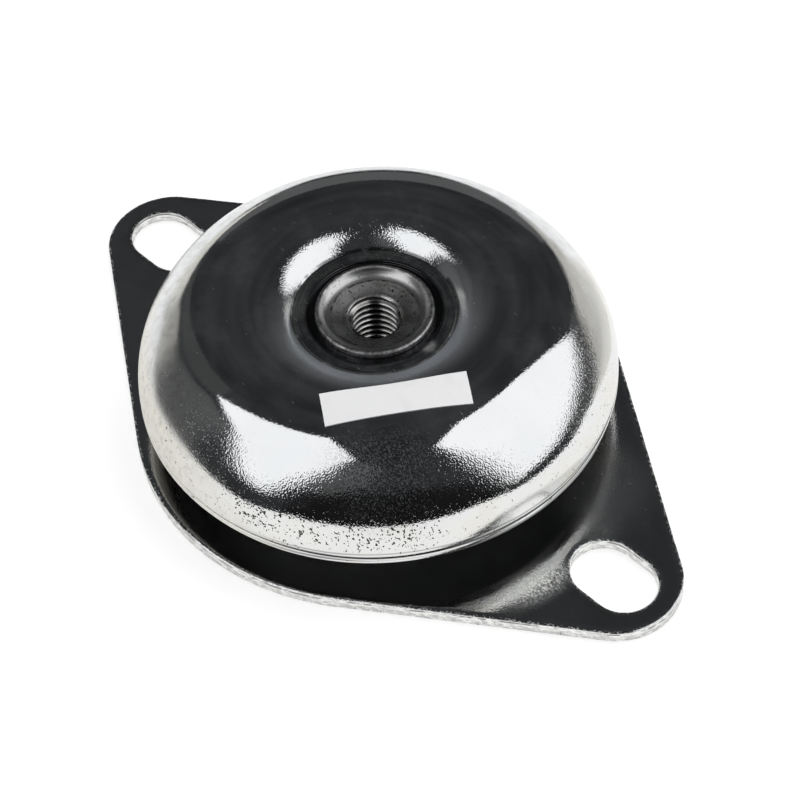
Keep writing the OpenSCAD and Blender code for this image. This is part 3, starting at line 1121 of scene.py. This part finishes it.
# %% Make the rubber
rubber_foot_r = 29.0 * mm
rubber_edge_angle = 46.0
rubber_hollow = 1.5 * mm
rubber_play = 0.3 * mm


def rubber_section():
    """From the neck in the plate's hole, out over its foot, up the hollow side and in to the throat."""
    foot = Vector((rubber_foot_r, raised_z))
    edge = Vector(shoulder(rubber_edge_angle, dome_sheet + rubber_play))
    chord = edge - foot
    inward = Vector((-chord.y, chord.x)).normalized()
    side = []
    for i in range(1, 24):
        s = i / 24
        side.append(tuple(foot + chord * s + inward * rubber_hollow * math.sin(math.pi * s)))
    neck_r = raised_hole_r - rubber_play
    neck_z = raised_z - plate_t
    chamfer = 0.5 * mm
    throat_r = stem_r + rubber_play
    collar_gap_r = collar_r + rubber_play
    neck = [(throat_r, neck_z + chamfer), (throat_r + chamfer, neck_z), (neck_r - chamfer, neck_z)]
    neck += [(neck_r, neck_z + chamfer), (neck_r, raised_z)]
    feet = [(rubber_foot_r - 0.3 * mm, raised_z), tuple(foot)]
    top = dome_face(dome_sheet + rubber_play, rubber_edge_angle, 30)
    inner = [(collar_gap_r, dome_under_z), (collar_gap_r, collar_z), (throat_r, collar_z)]
    throat = [(throat_r, collar_z + (neck_z + chamfer - collar_z) * i / 12) for i in range(1, 12)]
    return neck + feet + side + top + inner + throat


rubber_points, rubber_faces = turned(rubber_section(), 180)
block = add_piece("rubber_block", rubber_points, rubber_faces, [rubber])
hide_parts("rubber_element")
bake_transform(block)

# %% [markdown]
# The label is a strip of paper that follows the curve of the crown. Each of its points is set on
# the dome's outer face and lifted by the glue, and the paper's own thickness goes on top.

# %% Make the label
label_l = 31.2 * mm
label_w = 7.9 * mm
label_r = 28.0 * mm
label_azimuth = math.radians(-35.3)
glue = 0.03 * mm
paper_t = 0.15 * mm


def on_dome(r, lift):
    """The point of the dome's outer face at radius r, and lifted off it."""
    if r < crown_r:
        centre = Vector((crown_r, crown_z - dish_bend_r))
        up = Vector((r - crown_r, math.sqrt(dish_bend_r ** 2 - (r - crown_r) ** 2))).normalized()
        return centre + up * (dish_bend_r + lift)
    a = math.acos((r - crown_r) / shoulder_w)
    up = Vector((math.cos(a) / shoulder_w, math.sin(a) / shoulder_h)).normalized()
    return Vector((r, shoulder_z + shoulder_h * math.sin(a))) + up * lift


def label_point(u, v, lift):
    """u runs along the label and v across it, both from its centre."""
    r = math.hypot(label_r + v, u)
    turn = label_azimuth + math.atan2(u, label_r + v)
    p = on_dome(r, lift)
    return Vector((p.x * math.cos(turn), p.x * math.sin(turn), p.y))


def make_label(along=64, across=18):
    """The paper's lower and upper faces as grids, and the thin border that joins them."""
    points = []
    faces = []
    for lift in (glue, glue + paper_t):
        for i in range(along + 1):
            for k in range(across + 1):
                u = label_l * (i / along - 0.5)
                v = label_w * (k / across - 0.5)
                points.append(label_point(u, v, lift))
    row = across + 1
    top = (along + 1) * row
    for i in range(along):
        for k in range(across):
            a = i * row + k
            faces.append((a, a + 1, a + row + 1, a + row))
            faces.append((top + a, top + a + row, top + a + row + 1, top + a + 1))
    border = [i * row for i in range(along)] + [along * row + k for k in range(across)]
    border += [i * row + across for i in range(along, 0, -1)] + [k for k in range(across, 0, -1)]
    for i, a in enumerate(border):
        b = border[(i + 1) % len(border)]
        faces.append((a, b, top + b, top + a))
    return points, faces


label_points, label_faces = make_label()
label = add_piece("paper_label", label_points, label_faces, [paper])
seat(label, "dome", "label", "label_paper")

# %% [markdown]
# The mount stands on a white table in a dark room, between two soft boxes. That is how such metal
# is lit: it shows the lamps and the table as bright fields with dark between them. The room is a
# dark ball that the camera doesn't see. Directions are given as a photographer would, as an angle
# to the right of the camera and an angle above the table, and each lamp is a glowing panel. Its
# corners shape the bright field that the curved steel shows. A faint panel beside the left box is
# the light that spills from it.

# %% Camera
view_azimuth = -42.65
view_elevation = 50.74
view_roll = -3.12
view_distance = 0.5811
aim = Vector((10.6 * mm, -3.8 * mm, 15.0 * mm))


def direction(azimuth, elevation):
    """A unit vector at an angle round from +X and an angle above the table."""
    a = math.radians(azimuth)
    e = math.radians(elevation)
    return Vector((math.cos(e) * math.cos(a), math.cos(e) * math.sin(a), math.sin(e)))


lens = bpy.data.cameras.new("camera")
lens.lens = 119.6
lens.sensor_width = 36.0
camera = bpy.data.objects.new("camera", lens)
bpy.context.scene.collection.objects.link(camera)
toward = direction(view_azimuth, view_elevation)
camera.location = aim + toward * view_distance
level = toward.to_track_quat("Z", "Y").to_matrix().to_4x4()
rolled = level @ Matrix.Rotation(math.radians(view_roll), 4, "Z")
camera.matrix_world = Matrix.Translation(camera.location) @ rolled
bpy.context.scene.camera = camera
print("camera at", [round(c, 4) for c in camera.location])

# %% Soft boxes
def glow(name, colour, strength):
    """A material that only shines."""
    material = bpy.data.materials.new(name)
    material.use_nodes = True
    tree = material.node_tree
    tree.nodes.clear()
    shine = tree.nodes.new("ShaderNodeEmission")
    shine.inputs["Color"].default_value = (*colour, 1.0)
    shine.inputs["Strength"].default_value = strength
    end = tree.nodes.new("ShaderNodeOutputMaterial")
    tree.links.new(shine.outputs[0], end.inputs["Surface"])
    return material


def stage_piece(name, points, faces, material):
    """A mesh of the set, which isn't part of the mount."""
    mesh = bpy.data.meshes.new(name)
    mesh.from_pydata([tuple(p) for p in points], [], faces)
    mesh.materials.append(material)
    piece = bpy.data.objects.new(name, mesh)
    bpy.context.scene.collection.objects.link(piece)
    return piece


def panel_at(name, corners, distance, strength):
    """A glowing panel whose corners lie in the given directions from the mount."""
    rays = [direction(view_azimuth + azimuth, elevation) for azimuth, elevation in corners]
    facing = sum(rays, Vector()).normalized()
    points = [ray * (distance / ray.dot(facing)) for ray in rays]
    panel = stage_piece(name, points, [tuple(range(len(points)))], glow(name, (1.0, 1.0, 1.0), strength))
    panel.visible_camera = False
    return panel


left_corners = [(-51, 10), (-40, 35), (-32, 53), (-23, 68), (-76, 77), (-95, 63), (-106, 44), (-85, 43),
                (-74, 32), (-65, 18)]
right_corners = [(53, 1), (48, 30), (46, 51), (45, 69), (92, 72), (117, 56), (120, 24), (103, 15), (77, 2)]
panel_at("left_soft_box", left_corners, 0.9, 1.2)
panel_at("right_soft_box", right_corners, 0.9, 1.2)
spill_corners = [(-40, 30), (-32, 53), (-23, 68), (-4, 62), (-8, 46), (-22, 33)]
panel_at("left_spill", spill_corners, 1.0, 0.10)
print("two soft boxes and the spill of the left one")

# %% [markdown]
# The two soft boxes alone would leave the paper and the table grey, so a wide panel above the set
# fills them in. It is hidden from the metal, as the photograph shows no lamp in the crown.

# %% Fill light
fill_height = 1.1
fill_size = 1.0
fill = stage_piece("fill_panel", [(x * fill_size, y * fill_size, fill_height)
                                  for x, y in ((-1, -1), (-1, 1), (1, 1), (1, -1))],
                   [(0, 1, 2, 3)], glow("fill panel", (1.0, 1.0, 1.0), 1.5))
fill.visible_camera = False
fill.visible_glossy = False
print(f"fill panel {2 * fill_size:.1f} m wide, {fill_height:.1f} m above the table")

# %% [markdown]
# The walls of the room are nearly black, with slow patches a little paler than the rest. A black
# without any change would look cut out of the steel that mirrors it.

# %% Dark room
def shine_by(material, pattern, low, high, at_low, at_high):
    """Lets a pattern say how brightly a material shines: at_low where it is low, at_high where high."""
    tree = material.node_tree
    brightness = tree.nodes.new("ShaderNodeMapRange")
    for name, value in (("From Min", low), ("From Max", high), ("To Min", at_low), ("To Max", at_high)):
        brightness.inputs[name].default_value = value
    tree.links.new(pattern, brightness.inputs["Value"])
    tree.links.new(brightness.outputs[0], tree.nodes["Emission"].inputs["Strength"])


def dim_walls():
    material = glow("dark room", (0.0330, 0.0345, 0.0365), 1.0)
    tree = material.node_tree
    patches = tree.nodes.new("ShaderNodeTexNoise")
    patches.inputs["Scale"].default_value = 1.6
    patches.inputs["Detail"].default_value = 4.0
    place = tree.nodes.new("ShaderNodeTexCoord")
    tree.links.new(place.outputs["Object"], patches.inputs["Vector"])
    shine_by(material, patches.outputs[0], 0.3, 0.7, 0.65, 1.3)
    return material


room_r = 3.0
room_mesh = bmesh.new()
bmesh.ops.create_icosphere(room_mesh, subdivisions=4, radius=room_r)
room_data = bpy.data.meshes.new("dark_room")
room_mesh.to_mesh(room_data)
room_mesh.free()
room_data.materials.append(dim_walls())
room = bpy.data.objects.new("dark_room", room_data)
bpy.context.scene.collection.objects.link(room)
room.visible_camera = False
print(f"dark room {2 * room_r:.0f} m across")

# %% [markdown]
# The table is lit by the lamps as any table is. It also glows, but only for the camera and for
# reflections, so it comes out white and still shows the mount's shadow. The rim mirrors the table's
# edge all the way round, so the table has the outline that the photograph's rim shows. From below
# it is clear, as a sheet of glass is, so that the mount's underside can be looked at too.

# %% White table
def seen_white(tree):
    """1 for rays of the camera, of reflections and of glass, and 0 for the light on the object."""
    path = tree.nodes.new("ShaderNodeLightPath")
    most = None
    for name in ("Is Camera Ray", "Is Glossy Ray", "Is Transmission Ray"):
        if most is None:
            most = path.outputs[name]
            continue
        either = tree.nodes.new("ShaderNodeMath")
        either.operation = "MAXIMUM"
        tree.links.new(most, either.inputs[0])
        tree.links.new(path.outputs[name], either.inputs[1])
        most = either.outputs[0]
    return most


def table_material():
    """White, with the mount's shadow on it, and clear from below."""
    material = bpy.data.materials.new("white table")
    material.use_nodes = True
    tree = material.node_tree
    shader = tree.nodes["Principled BSDF"]
    shader.inputs["Base Color"].default_value = (0.80, 0.80, 0.80, 1.0)
    shader.inputs["Roughness"].default_value = 0.9
    shader.inputs["Specular IOR Level"].default_value = 0.0
    shader.inputs["Emission Color"].default_value = (1.0, 1.0, 1.0, 1.0)
    lift = tree.nodes.new("ShaderNodeMath")
    lift.operation = "MULTIPLY"
    lift.inputs[1].default_value = 0.45
    tree.links.new(seen_white(tree), lift.inputs[0])
    tree.links.new(lift.outputs[0], shader.inputs["Emission Strength"])
    from_below = tree.nodes.new("ShaderNodeNewGeometry").outputs["Backfacing"]
    clear = tree.nodes.new("ShaderNodeBsdfTransparent")
    either = tree.nodes.new("ShaderNodeMixShader")
    tree.links.new(from_below, either.inputs[0])
    tree.links.new(shader.outputs[0], either.inputs[1])
    tree.links.new(clear.outputs[0], either.inputs[2])
    tree.links.new(either.outputs[0], tree.nodes["Material Output"].inputs["Surface"])
    return material


table_top = -0.1 * mm
table_reach = [(-180, 0.15), (-170, 0.16), (-163, 0.24), (-157, 0.42), (-150, 0.50), (-125, 0.50),
               (-117, 0.28), (-109, 0.17), (-99, 0.14), (-93, 0.165), (-87, 0.21), (-80, 0.225),
               (-72, 0.21), (-52, 0.18), (-36, 0.55), (-14, 0.90), (14, 0.90), (38, 0.85), (50, 0.23),
               (61, 0.19), (75, 0.165), (88, 0.185), (96, 0.12), (104, 0.085), (115, 0.08), (128, 0.09),
               (140, 0.22), (150, 0.50), (155, 0.34), (164, 0.20), (172, 0.15)]


def flat_sheet(name, reach, z, material):
    """A flat face at height z. reach gives the distance of its edge in each direction."""
    edge = [direction(view_azimuth + azimuth, 0.0) * distance for azimuth, distance in reach]
    points = [(p.x, p.y, z) for p in edge]
    return stage_piece(name, points, [tuple(range(len(points)))], material)


flat_sheet("white_table", table_reach, table_top, table_material())
print(f"table of {len(table_reach)} corners, {-table_top / mm:.1f} mm below the mount")

# %% [markdown]
# The rim of the dome mirrors the rest of the room, all the way round. Low pale cards stand behind
# the table. To the right the table's far part lies in shade, and grey walls stand further out. In
# front, behind the camera, a nearly black wall keeps the lower part of the crown dark. The camera
# doesn't see any of them, so their edges can't show beside the mount.

# %% Low cards behind the table
def low_card(name, tops, strength):
    """A card that stands on the table's far edge. tops are its (azimuth, elevation) corners."""
    away = 0.5
    eye = 0.03
    points = []
    for azimuth, elevation in tops:
        out = direction(view_azimuth + azimuth, 0.0) * away
        top = away * math.tan(math.radians(elevation)) + eye
        points += [(out.x, out.y, table_top), (out.x, out.y, top)]
    faces = [(2 * i, 2 * i + 2, 2 * i + 3, 2 * i + 1) for i in range(len(tops) - 1)]
    card = stage_piece(name, points, faces, glow(name, (1.0, 0.97, 0.90), strength))
    card.visible_camera = False


low_card("left_low_card", [(-165, -3), (-158, 1), (-150, 4), (-142, 7), (-134, 8)], 0.82)
low_card("left_dim_card", [(-134, 12), (-129, 15), (-122, 16), (-118, 9), (-115, 0)], 0.42)
low_card("right_low_card", [(111, -3), (114, 2), (119, 7), (124, 12), (129, 13), (135, 10), (142, 6),
                            (150, 2), (157, -2)], 0.60)
print("three low cards behind the table")

# %% Shaded part of the table
def shaded_table():
    """A dim white surface that is darkest at one place and pales away from it."""
    material = glow("shaded table", (1.0, 0.98, 0.93), 0.6)
    tree = material.node_tree
    place = tree.nodes.new("ShaderNodeTexCoord")
    away = tree.nodes.new("ShaderNodeVectorMath")
    away.operation = "DISTANCE"
    away.inputs[1].default_value = direction(view_azimuth + 103, 0.0) * 0.30
    tree.links.new(place.outputs["Object"], away.inputs[0])
    shine_by(material, away.outputs["Value"], 0.08, 0.22, 0.50, 0.92)
    return material


shade_z = table_top - 1 * mm
shade_reach = [(90, 0.04), (92, 0.19), (101, 0.19), (107, 0.49), (128, 0.49), (145, 0.49), (150, 0.04)]
shade = flat_sheet("shaded_table", shade_reach, shade_z, shaded_table())
shade.visible_camera = False
print(f"shaded part {(table_top - shade_z) / mm:.1f} mm below the table")

# %% Grey walls
left_wall = [(-121, -8), (-86, -8), (-85, 20), (-85, 40), (-104, 39), (-112, 29.5), (-120, 20.5)]
left_far_wall = [(-146, 6), (-134, 18), (-127, 22), (-120, 26), (-112, 34), (-105, 43), (-116, 52),
                 (-122, 44), (-128, 36), (-135, 25), (-141, 18), (-150, 8)]
right_wall = [(84, -8), (128, -8), (128, 22), (115, 24), (84, 12)]
back_wall = [(150, -8), (205, -8), (205, 9), (150, 9)]
panel_at("left_wall", left_wall, 1.3, 0.095)
panel_at("left_far_wall", left_far_wall, 1.5, 0.062)
panel_at("right_wall", right_wall, 1.3, 0.085)
panel_at("back_wall", back_wall, 1.6, 0.11)
front_wall = [(-42, -1), (-35, 26), (-16, 36), (16, 36), (38, 26), (46, -1)]
panel_at("dark_front", front_wall, 1.4, 0.010)
print("four grey walls and the dark one in front")

# %% [markdown]
# Where the camera looks past the table it sees white surroundings. They give the mount no light,
# and for reflections the dark room stands in front of them. The colours are shown as they are,
# without a film look.

# %% White surroundings
world = bpy.data.worlds.new("studio")
bpy.context.scene.world = world
world.use_nodes = True
background = world.node_tree.nodes["Background"]
background.inputs["Color"].default_value = (1.0, 1.0, 1.0, 1.0)
world.node_tree.links.new(seen_white(world.node_tree), background.inputs["Strength"])
bpy.context.scene.view_settings.view_transform = "Standard"
print("view transform:", bpy.context.scene.view_settings.view_transform)
